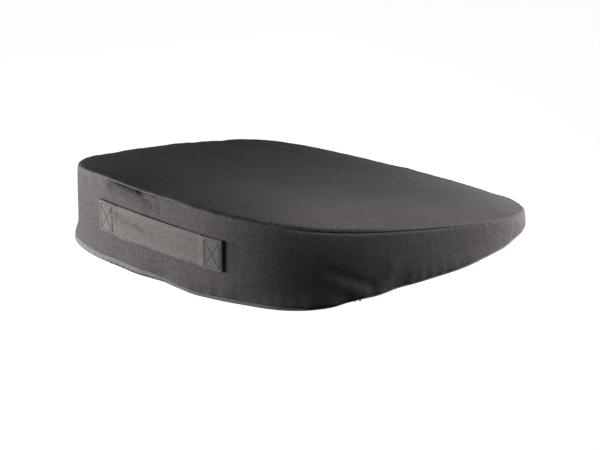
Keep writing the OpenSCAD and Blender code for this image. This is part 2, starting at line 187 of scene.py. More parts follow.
def between(along, start, full, fade, end):
    """1 from full to fade along the outline, with smooth steps up from 0 at start and down to 0 at end."""
    place = signed(along)
    return smooth(place, start, full) * (1 - smooth(place, fade, end))


def hills(along, table):
    """Sum of bell curves along the outline, each given by its height, place and reach."""
    return sum(height * bell(signed(along - at), 0, reach) for height, at, reach in table)


def ripple(along, seed, shortest, longest):
    """Waves along the outline, about -1 to 1: a fixed random sum of cosines that fit the outline whole times."""
    dice = np.random.default_rng(seed)
    times = np.arange(max(1, int(ROUND / longest)), int(ROUND / shortest) + 1)
    weight, start = dice.normal(size=times.size), dice.uniform(0, 2 * np.pi, times.size)
    angle = 2 * np.pi * times * np.asarray(along)[..., None] / ROUND + start
    return (weight * np.cos(angle)).sum(-1) / np.sqrt(2 * (weight ** 2).sum())


def waves(u, v, seed, shortest, longest, count=28):
    """Waves over a plane, about -1 to 1: a fixed random sum of plane cosines."""
    dice = np.random.default_rng(seed)
    size = 2 * np.pi / dice.uniform(shortest, longest, count)
    heading, start = dice.uniform(0, 2 * np.pi, count), dice.uniform(0, 2 * np.pi, count)
    angle = (u[..., None] * np.cos(heading) + v[..., None] * np.sin(heading)) * size + start
    return np.cos(angle).sum(-1) / np.sqrt(2 * count)


def crease(along, z, a, b, reach):
    """Height 1 on the line from a to b on the wall, given as distance along and height, falling off as a bell."""
    a, b = np.array(a), np.array(b)
    place = np.stack([signed(along - a[0]), z - a[1]], -1)
    line = b - a
    share = np.clip((place @ line) / (line @ line), 0, 1)
    return np.exp(-((place - share[..., None] * line) ** 2).sum(-1) / reach ** 2)


def flare(along, z):
    """How far the wall and the base stand out low down: less towards the front, and more in the bulges at the
    two back corners and on the right side, where the foam presses the cover out."""
    back = 1 - 0.75 * smooth(np.abs(signed(along)), 0.30, 0.46)
    return FLARE * back * np.exp(-z / FLARE_REACH) + hills(along, FOOT_BULGES) * bell(z, FOOT_Z, FOOT_REACH)


def turned_in(gap):
    """How far the fabric dips at a seam, against the distance from it."""
    return SEAM_DIP * np.exp(-(np.maximum(gap, 0) / SEAM_REACH) ** 1.3)


def seam_ridge(along):
    """Share of the middle of the back wall, where the upper seam stands out as a fine ridge."""
    return between(along, *RIDGE_SPAN)


def seam_pucker(along, gap):
    """Fine puckers beside the upper seam, larger away from the back wall, against the distance from the seam."""
    depth = 0.0001 + 0.0003 * smooth(np.abs(signed(along)), 0.16, 0.40)
    return depth * ripple(along, *PUCKER_WAVES) * np.exp(-gap / 0.0035)


def upper_depth(along):
    """How deep the upper seam dips: full on the ridge and the sides, pulled smooth over the back corners, and
    shallow towards the front."""
    place = np.abs(signed(along))
    side = smooth(place, 0.140, 0.165) * (1 - 0.75 * smooth(place, 0.30, 0.36))
    return np.clip(0.12 + 0.88 * seam_ridge(along) + side, 0, 1)


def shoulder_width(along):
    """Width of the rounded shoulder inside the rim, half as wide at the left of the back wall, where the seam
    folds the cover sharply."""
    return TOP_ROLL * (1 - 0.5 * between(along, *SHARP_SPAN))


def rim_line(along, foot, out):
    """Height of the rim: the top's slope at the inner edge of the shoulder, and the lumps where the foam and the
    seam are uneven, with the long rise at the left of the back wall."""
    lumps = hills(along, RIM_LUMPS) + 0.0002 * ripple(along, *RIM_WAVES)
    return rim_height((foot - shoulder_width(along)[..., None] * out)[..., 1]) + lumps


def cover_lines(along):
    """Outline, outward direction and the heights of the two seams at distances along the outline. The upper seam
    lies on the rim at the back wall and drops below it on the sides."""
    foot, out = outline(along)
    side = smooth(np.abs(signed(along)), 0.11, 0.19)
    upper = rim_line(along, foot, out) - UPPER_DROP_BACK - (UPPER_DROP_SIDE - UPPER_DROP_BACK) * side
    low = LOWER_SEAM_Z + LOWER_RISE_BACK * between(along, *SEAM_RISE_SPAN)
    low = low - LOWER_DROP_SIDE * between(along, *SEAM_DROP_SPAN)
    return foot, out, upper, low + 0.0003 * ripple(along, *LOWER_SEAM_WAVES)


def edge_lift(along):
    """Height by which the lower edge lifts off the ground at the places where the cover puckers."""
    return EDGE_LIFT * between(along, *LIFT_SPAN) + hills(along, EDGE_PUCKERS)


# Mesh building

def raised(xy, z):
    """Points in space from places on the ground and their heights."""
    return np.concatenate([xy, np.broadcast_to(z, xy.shape[:-1])[..., None]], -1)


def capped(points):
    """Rows of points round a strip, with one more row at each end that lies wholly in the middle of that end."""
    caps = [np.broadcast_to(points[end].mean(0), points[end].shape)[None] for end in (0, -1)]
    return np.concatenate([caps[0], points, caps[1]])


def piece(name, points, cloth_uv, material, body="cushion", nodes=(), wear_and_painted_light=None, sharp=50,
          closed=False):
    """Makes a mesh from one or many grids of points, shaped (..., rows, columns, 3), with faces between
    neighbours. Points that coincide are joined, which closes seams and poles."""
    rows, cols = points.shape[-3:-1]
    many = int(np.prod(points.shape[:-3], dtype=int))
    i, j, k = np.meshgrid(np.arange(rows - 1), np.arange(cols - 1), np.arange(many), indexing="ij")
    first = (k * rows + i) * cols + j
    faces = np.stack([first, first + 1, first + cols + 1, first + cols], -1).reshape(-1, 4)
    mesh = bpy.data.meshes.new(name)
    mesh.from_pydata(points.reshape(-1, 3), [], faces)
    uv = np.broadcast_to(cloth_uv, points.shape[:-1] + (2,)).reshape(-1, 2)
    mesh.uv_layers.new(name="cloth").data.foreach_set("uv", uv[faces.ravel()].astype(np.float32).ravel())
    # The attribute holds rubbed wear together with painted shade and painted highlight.
    if wear_and_painted_light is not None:
        painted_light_with_wear = mesh.attributes.new("wear_and_painted_light", "FLOAT", "POINT")
        painted_light_with_wear.data.foreach_set("value", np.broadcast_to(wear_and_painted_light, points.shape[:-1]).astype(np.float32).ravel())
    work = bmesh.new()
    work.from_mesh(mesh)
    bmesh.ops.remove_doubles(work, verts=work.verts, dist=JOIN)
    bmesh.ops.dissolve_degenerate(work, edges=work.edges, dist=1e-7)
    if closed:
        bmesh.ops.recalc_face_normals(work, faces=work.faces)
    work.to_mesh(mesh)
    work.free()
    mesh.shade_smooth()
    mesh.set_sharp_from_angle(angle=np.radians(sharp))
    return place_piece(name, mesh, material, body, nodes)


def place_piece(name, mesh, material, body, nodes):
    """Puts a mesh into the scene on its body, standing for its solids."""
    made = bpy.data.objects.new(name, mesh)
    bpy.context.scene.collection.objects.link(made)
    mesh.materials.clear()
    mesh.materials.append(material)
    if body:
        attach(made, body)
    if nodes:
        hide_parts(*nodes)
    return made


def thicken(made):
    """Gives a sheet its fabric's thickness, inwards."""
    wall = made.modifiers.new("fabric", "SOLIDIFY")
    wall.thickness, wall.offset = FABRIC_T, -1
    return made


# Materials

def add(tree, kind, inputs=None, **settings):
    """Adds a node with its settings, and sets or links its inputs."""
    made = tree.nodes.new(kind)
    for name, value in settings.items():
        setattr(made, name, value)
    for name, value in (inputs or {}).items():
        if isinstance(value, bpy.types.NodeSocket):
            tree.links.new(value, made.inputs[name])
        else:
            made.inputs[name].default_value = value
    return made


def sums(tree, operation, a, b=0.0, c=0.0):
    """One step of arithmetic."""
    return add(tree, "ShaderNodeMath", {0: a, 1: b, 2: c}, operation=operation).outputs[0]


def mixed_values(tree, share, a, b):
    """A value between two values."""
    return add(tree, "ShaderNodeMix", {0: share, 2: a, 3: b}).outputs[0]


def mixed_colours(tree, share, a, b, blend="MIX"):
    """A colour between two colours, or their product."""
    return add(tree, "ShaderNodeMix", {0: share, 6: a, 7: b}, data_type="RGBA", blend_type=blend).outputs[2]


def set_looks(tree, shader, colour, rough, **relief):
    """Links a shader's colour and roughness, and its relief from a Bump node with the given inputs."""
    tree.links.new(colour, shader.inputs["Base Color"])
    tree.links.new(rough, shader.inputs["Roughness"])
    tree.links.new(add(tree, "ShaderNodeBump", relief).outputs[0], shader.inputs["Normal"])


def group(name, inputs, outputs):
    """An empty node group with named inputs and outputs."""
    tree = bpy.data.node_groups.new(name, "ShaderNodeTree")
    for label, kind, value in inputs:
        socket = tree.interface.new_socket(label, in_out="INPUT", socket_type="NodeSocket" + kind)
        if value is not None:
            socket.default_value = value
    for label in outputs:
        tree.interface.new_socket(label, in_out="OUTPUT", socket_type="NodeSocketFloat")
    return tree, tree.nodes.new("NodeGroupInput"), tree.nodes.new("NodeGroupOutput")


def plain_weave():
    """Plain weave: in each square of a chessboard one yarn lies over the other. Height is the round of the upper
    yarn, Gap is 1 in the holes between yarns, and Yarn is a fixed random shade of each yarn."""
    tree, given, result = group(
        "plain weave", [("Place", "Vector", None), ("Pitch", "Float", 0.0008)], ["Height", "Gap", "Yarn"])
    count = sums(tree, "DIVIDE", 1.0, given.outputs["Pitch"])
    place = add(tree, "ShaderNodeVectorMath", {0: given.outputs["Place"], "Scale": count}, operation="SCALE")
    axes = add(tree, "ShaderNodeSeparateXYZ", {0: place.outputs[0]})
    rounds, cells = [], []
    for axis in ("X", "Y"):
        across = sums(tree, "MULTIPLY", sums(tree, "FRACT", axes.outputs[axis]), np.pi)
        rounds.append(sums(tree, "SINE", across))
        cells.append(sums(tree, "FLOOR", axes.outputs[axis]))
    odd = sums(tree, "PINGPONG", sums(tree, "ADD", *cells), 1.0)
    highs = [sums(tree, "MULTIPLY", sums(tree, "POWER", rounds[k], 0.6),
                  sums(tree, "MULTIPLY_ADD", rounds[1 - k], 0.5, 0.5)) for k in (0, 1)]
    shades = [add(tree, "ShaderNodeTexWhiteNoise", {"W": cell}, noise_dimensions="1D").outputs["Value"]
              for cell in (cells[0], sums(tree, "ADD", cells[1], 4096.5))]
    hole = sums(tree, "SUBTRACT", 1.0, sums(tree, "POWER", sums(tree, "MAXIMUM", *rounds), 3.0))
    tree.links.new(mixed_values(tree, odd, *highs), result.inputs["Height"])
    tree.links.new(hole, result.inputs["Gap"])
    tree.links.new(mixed_values(tree, odd, *shades), result.inputs["Yarn"])
    return tree


def fibre_mottle():
    """Uneven tone of a used cloth: fine specks of lint and broad soft clouds, both around 0."""
    tree, given, result = group(
        "fibre mottle", [("Place", "Vector", None), ("Speck", "Float", 500.0)], ["Specks", "Clouds"])
    for name, scale, detail in (("Specks", given.outputs["Speck"], 4.0), ("Clouds", 14.0, 3.0)):
        noise = add(tree, "ShaderNodeTexNoise", {"Vector": given.outputs["Place"], "Scale": scale,
                                                 "Detail": detail, "Roughness": 0.6})
        tree.links.new(sums(tree, "SUBTRACT", noise.outputs[0], 0.5), result.inputs[name])
    return tree


WEAVE, MOTTLE = plain_weave(), fibre_mottle()


def blank(name):
    """A material with only its Principled shader and output."""
    made = bpy.data.materials.new(name)
    made.use_nodes = True
    tree = made.node_tree
    return made, tree, tree.nodes["Principled BSDF"]


CLOTH_ROUGH, CLOTH_ROUGH_VARY, CLOTH_GAP_SHADE, CLOTH_GLOSS, CLOTH_SHEEN_ROUGH = 0.88, 0.2, -0.35, 0.005, 0.45


def cloth(name, colour, pitch, sheen, yarn=0.18, specks=0.5, clouds=0.25, bump=0.35, wear_and_painted_light=0.0, speck=500.0):
    """Woven cloth on the piece's own UV: yarn by yarn tone, lint, clouds, painted shade in the holes between
    yarns, paler where rubbed and darker or lighter where shade or highlight is painted into the piece's
    attribute, and the weave's relief."""
    made, tree, shader = blank(name)
    uv = add(tree, "ShaderNodeUVMap", uv_map="cloth").outputs[0]
    spot = add(tree, "ShaderNodeTexCoord").outputs["Object"]
    weave = add(tree, "ShaderNodeGroup", {"Place": uv, "Pitch": pitch}, node_tree=WEAVE)
    tone = add(tree, "ShaderNodeGroup", {"Place": spot, "Speck": speck}, node_tree=MOTTLE)
    shade = sums(tree, "MULTIPLY_ADD", weave.outputs["Yarn"], yarn, 1 - yarn / 2)
    shade = sums(tree, "MULTIPLY_ADD", tone.outputs["Specks"], specks, shade)
    shade = sums(tree, "MULTIPLY_ADD", tone.outputs["Clouds"], clouds, shade)
    # Painted shade in the holes between yarns
    shade = sums(tree, "MULTIPLY_ADD", weave.outputs["Gap"], CLOTH_GAP_SHADE, shade)
    # Rubbed wear, painted shade and painted highlight from the piece's attribute.
    if wear_and_painted_light:
        painted_light_with_wear = add(tree, "ShaderNodeAttribute", attribute_name="wear_and_painted_light").outputs["Fac"]
        shade = sums(tree, "MULTIPLY_ADD", painted_light_with_wear, wear_and_painted_light, shade)
    set_looks(tree, shader, mixed_colours(tree, 1.0, (*colour, 1), shade, "MULTIPLY"),
              sums(tree, "MULTIPLY_ADD", tone.outputs["Specks"], CLOTH_ROUGH_VARY, CLOTH_ROUGH),
              Strength=bump, Distance=pitch * 0.4, Height=weave.outputs["Height"])
    shader.inputs["Sheen Weight"].default_value = sheen
    shader.inputs["Sheen Roughness"].default_value = CLOTH_SHEEN_ROUGH
    shader.inputs["Specular IOR Level"].default_value = CLOTH_GLOSS
    return made


def mottled(name, colour, rough, speck, bump=0.15, grain=900.0, metal=0.0, vary=0.5):
    """Foam, rubber, moulded plastic or plated metal: speckled tone, uneven gloss and a fine grain."""
    made, tree, shader = blank(name)
    spot = add(tree, "ShaderNodeTexCoord").outputs["Object"]
    tone = add(tree, "ShaderNodeGroup", {"Place": spot, "Speck": speck}, node_tree=MOTTLE)
    shade = sums(tree, "MULTIPLY_ADD", tone.outputs["Specks"], vary, 1.0)
    shade = sums(tree, "MULTIPLY_ADD", tone.outputs["Clouds"], 0.2, shade)
    fine = add(tree, "ShaderNodeTexNoise", {"Vector": spot, "Scale": grain, "Detail": 3.0})
    set_looks(tree, shader, mixed_colours(tree, 1.0, (*colour, 1), shade, "MULTIPLY"),
              sums(tree, "MULTIPLY_ADD", tone.outputs["Specks"], 0.25, rough),
              Strength=bump, Distance=0.0002, Height=fine.outputs[0])
    shader.inputs["Metallic"].default_value = metal
    return made


def twisted_thread(name, colour, plies=2500.0):
    """Sewing thread: slanted plies along the stitch, so many to the metre, from its UV, painted darker between
    the plies as shade, with a soft sheen.
    """
    made, tree, shader = blank(name)
    uv = add(tree, "ShaderNodeUVMap", uv_map="cloth").outputs[0]
    axes = add(tree, "ShaderNodeSeparateXYZ", {0: uv})
    slant = sums(tree, "ADD", sums(tree, "MULTIPLY", axes.outputs["X"], plies), axes.outputs["Y"])
    ply = sums(tree, "SINE", sums(tree, "MULTIPLY", sums(tree, "FRACT", slant), np.pi))
    # Shade is painted between the plies: half the colour there.
    set_looks(tree, shader, mixed_colours(tree, ply, (*(0.5 * np.array(colour)), 1), (*colour, 1)),
              sums(tree, "MULTIPLY_ADD", ply, -0.15, 0.75), Strength=0.4, Distance=0.0001, Height=ply)
    shader.inputs["Sheen Weight"].default_value = 0.2
    return made


COVER = cloth("charcoal cover cloth", (0.094, 0.0850, 0.0875), 0.0008, sheen=0.02, specks=1.35, clouds=0.35,
              wear_and_painted_light=0.25, speck=480.0)
BASE_CLOTH = cloth("grey base cloth", (0.158, 0.151, 0.148), 0.0010, sheen=0.2, wear_and_painted_light=0.15)
WEBBING = cloth("taupe webbing", (0.146, 0.136, 0.1275), 0.0006, sheen=0.08, yarn=0.2, specks=1.2, bump=0.5,
                wear_and_painted_light=0.25)
TAPE = cloth("black zip tape", (0.022, 0.021, 0.022), 0.0005, sheen=0.15)
THREAD = twisted_thread("dark sewing thread", (0.030, 0.028, 0.028))
FOAM = mottled("cream foam", (0.66, 0.61, 0.50), 0.95, 900.0, bump=0.6, grain=1400.0)
GRIP_RUBBER = mottled("black grip rubber", (0.018, 0.018, 0.018), 0.6, 400.0)
ZIP_PLASTIC = mottled("black zip plastic", (0.025, 0.025, 0.026), 0.38, 700.0)
ZIP_METAL = mottled("dark plated metal", (0.23, 0.23, 0.24), 0.32, 350.0, bump=0.05, metal=1.0, vary=0.25)


# Cover and foam

def wall_relief(along, z, low, upper):
    """Outward offset of the wall: a swell fullest low down, the turned-in seams, fine puckers beside them, soft
    unevenness, and the folds that the handling has left."""
    place = signed(along)
    share = np.clip((z - low) / (upper - low), 0, 1)
    off = WALL_SWELL * np.sin(np.pi * share ** 0.6) + flare(along, z)
    off = off - turned_in(z - low) - upper_depth(along) * turned_in(upper - z)
    off = off + seam_pucker(along, upper - z)
    off = off + 0.0005 * ripple(along, *FOOT_WAVES) * np.exp(-(z - low) / 0.010)
    even = np.sin(np.pi * share) * (1 - smooth(np.abs(place), 0.5, 0.65))
    off = off + 0.0004 * waves(place, z, *WALL_WAVES) * even
    return off + sum(height * crease(along, z, a, b, reach) for height, a, b, reach in WALL_FOLDS)


def side_wall():
    """The wall strip: rows from the lower to the upper seam, closer together at the seams, each point moved
    outwards by the wall's relief. Painted shade darkens the hollow, the line and the crease below the raised
    seam, and the fabric is rubbed pale along the other seams."""
    foot, out, upper, low = cover_lines(AROUND)
    low = low + edge_lift(AROUND)
    share = (0.5 - 0.5 * np.cos(np.linspace(0, np.pi, WALL_ROWS)))[:, None]
    z = low + (upper - low) * share
    along = np.broadcast_to(AROUND, z.shape)
    off = wall_relief(along, z, low, upper)
    ridge = seam_ridge(along)
    hollow_shade = between(along, *HOLLOW_SHADE_SPAN)
    line = ridge * (1 - smooth(signed(along), -0.004, 0.004))
    # Painted shade: broad in the hollow below the raised seam, a thin dark line just below it, and a crease.
    shade = (2.2 * hollow_shade * bell(z, upper, 0.0080) + 1.2 * line * bell(z, upper, 0.0013)
             + 1.3 * crease(along, z, *PAINTED_CREASE_SHADE))
    pale = 0.6 * (1 - ridge) * np.exp(-(upper - z) / 0.003) + 0.6 * np.exp(-(z - low) / 0.003)
    points = raised(foot + off[..., None] * out, z)
    return thicken(piece("cover_wall", points, np.stack([along, z], -1), COVER, nodes=("side_band",),
                         wear_and_painted_light=pale - shade))


def top_rise(x, y, share):
    """Height of the top: the slope, the crown and soft unevenness, all fading at the rim."""
    return rim_height(y) + CROWN_H * (1 - share ** 4) + 0.0005 * waves(x, y, *TOP_WAVES) * (1 - share ** 6)


def top_cover():
    """The top panel: a rounded shoulder up from the upper seam, as a quarter ellipse, then rings that draw in
    to the middle. It is rubbed pale at the seam, carries a painted highlight on its ridge, and has a painted dark
    line of shade along the rim towards the near corner."""
    foot, out, upper, _ = cover_lines(AROUND)
    rim, width, ridge = rim_line(AROUND, foot, out), shoulder_width(AROUND), seam_ridge(AROUND)
    foot = foot + flare(AROUND, upper)[:, None] * out
    bend = np.radians(90 * np.linspace(0, 1, SHOULDER_ROWS) ** 1.6)[:, None]
    inset = width * (1 - np.cos(bend))
    z = upper + (rim - upper) * np.sin(bend)
    gap = np.hypot(inset, z - upper)
    pucker = seam_pucker(AROUND, gap)
    off = pucker + SEAM_RIDGE_H * ridge * bell(gap, 0.0012, 0.0009) - inset
    off = off - upper_depth(AROUND) * turned_in(gap)
    shoulder = raised(foot + off[..., None] * out, z + 0.5 * pucker)
    share = (1 - np.linspace(0, 1, TOP_ROWS)[1:] ** 1.15)[:, None]
    edge = foot - width[:, None] * out - MIDDLE
    xy = MIDDLE + share[..., None] * edge
    rise = top_rise(xy[..., 0], xy[..., 1], share) + (rim - rim_height(edge[:, 1] + PLAN_Y)) * share ** 9
    points = np.concatenate([shoulder, raised(xy, rise)])
    # Pale where rubbed at the seam; along the shaded span a dark line of shade is painted just above the seam
    # instead, and a highlight is painted on the raised seam's ridge.
    rim_shade = between(AROUND, *RIM_SHADE_SPAN)
    painted_light_with_wear = (1 - rim_shade) * np.exp(-gap / 0.004) - 1.9 * rim_shade * bell(gap, 0.0030, 0.0024)
    painted_light_with_wear = painted_light_with_wear + 4.5 * ridge * bell(gap, 0.0013, 0.0008)
    wear_and_painted_light = np.concatenate([painted_light_with_wear, np.zeros(xy.shape[:2])])
    return thicken(piece("cover_top", points, points[..., :2], COVER, nodes=("top_panel",),
                         wear_and_painted_light=wear_and_painted_light))


def base_section(along):
    """The rolled edge of the base at distances along the outline: a quarter ellipse from the lower seam down to
    the flat, standing a little proud of the wall. Also gives where it is rubbed pale, and a painted shadow on the
    lower part of the roll along the back."""
    foot, out, _, low = cover_lines(along)
    seam = low + edge_lift(along)
    bend = np.radians(90 * np.linspace(0, 1, ROLL_ROWS) ** 1.3)[:, None]
    z = seam - (low - BASE_Z) * np.sin(bend)
    inset = BASE_ROLL * (1 - np.cos(bend))
    gap = np.hypot(inset, seam - z)
    off = flare(along, low) + BASE_PROUD * np.sin(2 * bend) - inset - turned_in(gap)
    # Painted shadow on the lower part of the roll along the back, its edge made uneven by waves.
    painted_shadow = between(along, *PAINTED_SHADOW_SPAN) * smooth(bend, 0.50, 0.80)
    wear_and_painted_light = np.exp(-gap / 0.003) - painted_shadow * (5.0 + 1.2 * ripple(along, *PAINTED_SHADOW_WAVES))
    return raised(foot + off[..., None] * out, z), wear_and_painted_light


def base_panel(name, node, side):
    """One base panel: its rolled edge, the flat drawn in to the zip, and the edge turned up round the zip."""
    right = TURNS < np.pi / 2
    cross = np.interp(ZIP_Y - PLAN_Y, outline_at(TURNS)[1][right], REACHED[right])
    along = np.linspace(cross, ROUND - cross, 481) if side > 0 else np.linspace(cross, -cross, 161)
    rolled, wear_and_painted_light = base_section(along)
    corners = np.array([[1, 0], [1, side], [-1, side], [-1, 0]]) * (ZIP_HALF, RECESS_HALF) + (0, ZIP_Y)
    place = np.linspace(0, 1, along.size)
    mouth = np.stack([np.interp(place, [0, 0.04, 0.96, 1], corners[:, k]) for k in (0, 1)], -1)
    away = np.stack([np.sign(mouth[:, 0]) * (np.abs(mouth[:, 0]) > ZIP_HALF - JOIN),
                     side * (np.abs(mouth[:, 1] - ZIP_Y) > RECESS_HALF - JOIN)], -1)
    share = np.linspace(0, 1, FLAT_ROWS)[1:, None]
    start, start_z = rolled[-1, :, :2], rolled[-1, :, 2]
    flat = start + share[..., None] * (mouth + MOUTH_LIP * away - start)
    flat_z = start_z + (BASE_Z - start_z) * smooth(share, 0, 0.3)
    turn = np.radians(np.array([30, 60, 90]))[:, None]
    lip = mouth + MOUTH_LIP * (1 - np.sin(turn))[..., None] * away
    lip_z = BASE_Z + MOUTH_LIP * (1 - np.cos(turn))
    high = np.array([0.4, 0.7, 1.0])[:, None]
    wall = np.broadcast_to(mouth, high.shape[:1] + mouth.shape)
    wall_z = BASE_Z + MOUTH_LIP + (ZIP_Z - BASE_Z - MOUTH_LIP) * high
    points = np.concatenate([rolled, raised(flat, flat_z), raised(lip, lip_z), raised(wall, wall_z)])
    painted_light_with_wear = np.concatenate([wear_and_painted_light, np.zeros((len(points) - len(wear_and_painted_light), along.size))])
    if side > 0:
        points, painted_light_with_wear = points[:, ::-1], painted_light_with_wear[:, ::-1]
    return thicken(piece(name, points, points[..., :2], BASE_CLOTH, nodes=(node,), wear_and_painted_light=painted_light_with_wear))


def grip_dots(name, side):
    """Rubber dots on the flat of one base panel, in staggered rows, clear of the zip: low closed domes, as two
    rings between a pole inside the fabric and a pole on top."""
    rows, cols = np.meshgrid(np.arange(-DOT_ROWS, DOT_ROWS + 1), np.arange(-DOT_COLS, DOT_COLS + 1),
                             indexing="ij")
    x = (cols + 0.5 * (rows % 2)).ravel() * DOT_PITCH
    y = rows.ravel() * DOT_PITCH * np.sqrt(0.75) + PLAN_Y
    along = np.linspace(0, ROUND, 2801)
    edge, out = base_section(along)[0][-1], outline(along)[1]
    near = np.hypot(x[:, None] - edge[:, 0], y[:, None] - edge[:, 1]).argmin(1)
    beyond = (x - edge[near, 0]) * out[near, 0] + (y - edge[near, 1]) * out[near, 1]
    keep = (beyond < 0) & ((y - ZIP_Y) * side > 2 * DOT_RADIUS)
    keep &= (np.abs(x) > ZIP_HALF + DOT_CLEAR_X) | (np.abs(y - ZIP_Y) > RECESS_HALF + DOT_CLEAR_Y)
    spot = np.stack([x, y, np.full(x.size, BASE_Z)], -1)[keep]
    wide = DOT_RADIUS * np.array([0, 1, 0.8, 0])[:, None]
    tall = np.array([-0.0002, -0.0002, 0.0003, 0.0005])[:, None]
    dome = np.stack(np.broadcast_arrays(wide * np.cos(SIX_SIDES), wide * np.sin(SIX_SIDES), -tall), -1)
    return piece(name, spot[:, None, None] + dome, np.zeros(2), GRIP_RUBBER, closed=True)


def foam_wedge():
    """The foam: rings inside the cover from the middle of the base to the middle of the top, with a groove over
    the zip."""
    along = np.linspace(0, ROUND, 361)
    foot, out, upper, low = cover_lines(along)
    share = np.linspace(0, 1, 60)[:, None]
    flat = MIDDLE + share[..., None] * (foot - FOAM_BASE_IN * out - MIDDLE)
    groove = 1 - smooth(np.abs(flat[..., 1] - ZIP_Y), TAPE_OUT + 0.001, TAPE_OUT + 0.004)
    groove = groove * (1 - smooth(np.abs(flat[..., 0]), ZIP_HALF + 0.003, ZIP_HALF + 0.006))
    rise = np.array([0.12, 0.35, 0.6, 0.85])[:, None]
    inset = np.array([0.0042, 0.0030, 0.0030, 0.0042])[:, None]
    wall = foot - inset[..., None] * out
    share = np.linspace(1, 0, 24)[:, None]
    lid = MIDDLE + share[..., None] * (foot - FOAM_TOP_IN * out - MIDDLE)
    lid_z = rim_height(lid[..., 1]) + CROWN_H * (1 - share ** 4) - FOAM_SKIN - 0.0010 * share ** 8
    points = np.concatenate([raised(flat, BASE_Z + FOAM_SKIN + FOAM_GROOVE * groove),
                             raised(wall, low + (upper - low) * rise), raised(lid, lid_z)])
    made = piece("foam_wedge", points, points[..., :2], FOAM, nodes=("foam_core",), closed=True)
    return made


def seam_thread(name, node, upper_one):
    """Sewing thread in a seam: a round tube that follows the seam's line inside the fabric."""
    foot, out, upper, low = cover_lines(AROUND)
    z = upper if upper_one else low + edge_lift(AROUND)
    turn = SIX_SIDES[:, None]
    off = THREAD_R * np.cos(turn) - SEAM_INSIDE
    points = raised(foot + off[..., None] * out, z + THREAD_R * np.sin(turn))
    uv = np.stack(np.broadcast_arrays(AROUND, turn / (2 * np.pi)), -1)
    return piece(name, points, uv, THREAD, nodes=(node,), closed=True)


# Stitches, handle and zip

def stitches(name, starts, ends, outward, nodes, radius=THREAD_R):
    """Stitches from start to end points: round threads that stand proud in the middle and sink in at the ends."""
    share = np.array([0, 0.02, 0.14, 0.5, 0.86, 0.98, 1])
    thick = radius * np.array([0, 0.7, 1, 1, 1, 0.7, 0])
    rise = STITCH_BOW * (np.sin(np.pi * share) - 0.35)
    line = ends - starts
    length = np.linalg.norm(line, axis=-1, keepdims=True)
    aside = np.cross(line / length, outward)
    spine = starts[:, None] + share[:, None] * line[:, None] + rise[:, None] * outward
    points = (spine[:, :, None] + (thick[:, None] * np.cos(SIX_SIDES))[..., None] * aside[:, None, None]
              + (thick[:, None] * np.sin(SIX_SIDES))[..., None] * outward)
    uv = np.stack(np.broadcast_arrays(length[:, None] * share[:, None], SIX_SIDES / (2 * np.pi)), -1)
    return piece(name, points, uv, THREAD, nodes=nodes, closed=True)


def strap_wave(x, up):
    """Slack of the webbing away from the wall: a bow in the middle, a bulge beside the left end and a slanting
    crease. Beyond the sewn ends it settles towards the wall. Also gives the crease itself, from 0 to 1, and how
    far the lower edge hangs beside the left end."""
    free = np.clip(np.abs(x) / FREE_HALF, 0, 1)
    slack = STRAP_BOW * np.cos(np.pi / 2 * free) ** 2
    loose = smooth(1 - free, 0.0, 0.12)
    bulge = 0.0012 * bell(x, -0.050, 0.011) * bell(up, -0.010, 0.012)
    slant = loose * bell(up + 0.156 * (x + 0.0315), 0.0017, 0.0034) * bell(x, -0.034, 0.028)
    hang = 0.0017 * loose * bell(x, -0.046, 0.013) * (0.5 - up / STRAP_W)
    return slack + loose * (bulge - 0.0012) - 0.0011 * slant, slant, hang


def webbing(name, x, stand, nodes, body=None):
    """Flat webbing: a rounded strip section carried along a path, given by distance across and stand-off from the
    wall. The slack moves only the layer on the outside."""
    half, bead = STRAP_W / 2 - STRAP_T / 2, STRAP_T / 2
    face = np.linspace(-1, 1, 15) * half
    edge = np.radians(np.array([-60, -20, 20, 60]))
    up = np.concatenate([face, half + bead * np.cos(edge), face[::-1], -half - bead * np.cos(edge), face[:1]])
    flat = np.ones(face.size)
    depth = bead * np.concatenate([-flat, np.sin(edge), flat, -np.sin(edge), -flat[:1]])
    y = back_y(x + STRAP_X) - stand
    head = np.stack([np.gradient(x), np.gradient(y)], -1)
    head = head / np.linalg.norm(head, axis=-1, keepdims=True)
    normal = np.stack([head[:, 1], -head[:, 0]], -1)
    if normal[0, 1] > 0:
        normal = -normal
    outer = stand > STRAP_IN + STRAP_T
    slack, slant, hang = (outer[:, None] * part for part in strap_wave(x[:, None], up))
    px = STRAP_X + x[:, None] + depth * normal[:, :1]
    py = y[:, None] + depth * normal[:, 1:] - slack
    points = capped(np.stack([px, py, STRAP_Z + up - hang - STRAP_TILT * (px - STRAP_X)], -1))
    gone = np.concatenate([[0], np.cumsum(np.hypot(np.diff(x), np.diff(y)))])
    row = np.clip(np.arange(-1, x.size + 1), 0, x.size - 1)
    uv = np.stack(np.broadcast_arrays(gone[row][:, None], up), -1)
    # Paler towards the edges, with shade painted into the slanting crease.
    painted_light_with_wear = 0.3 * np.abs(up) ** 4 / (STRAP_W / 2) ** 4 - 0.85 * slant[row]
    return piece(name, points, uv, WEBBING, body, nodes, wear_and_painted_light=painted_light_with_wear, closed=True)


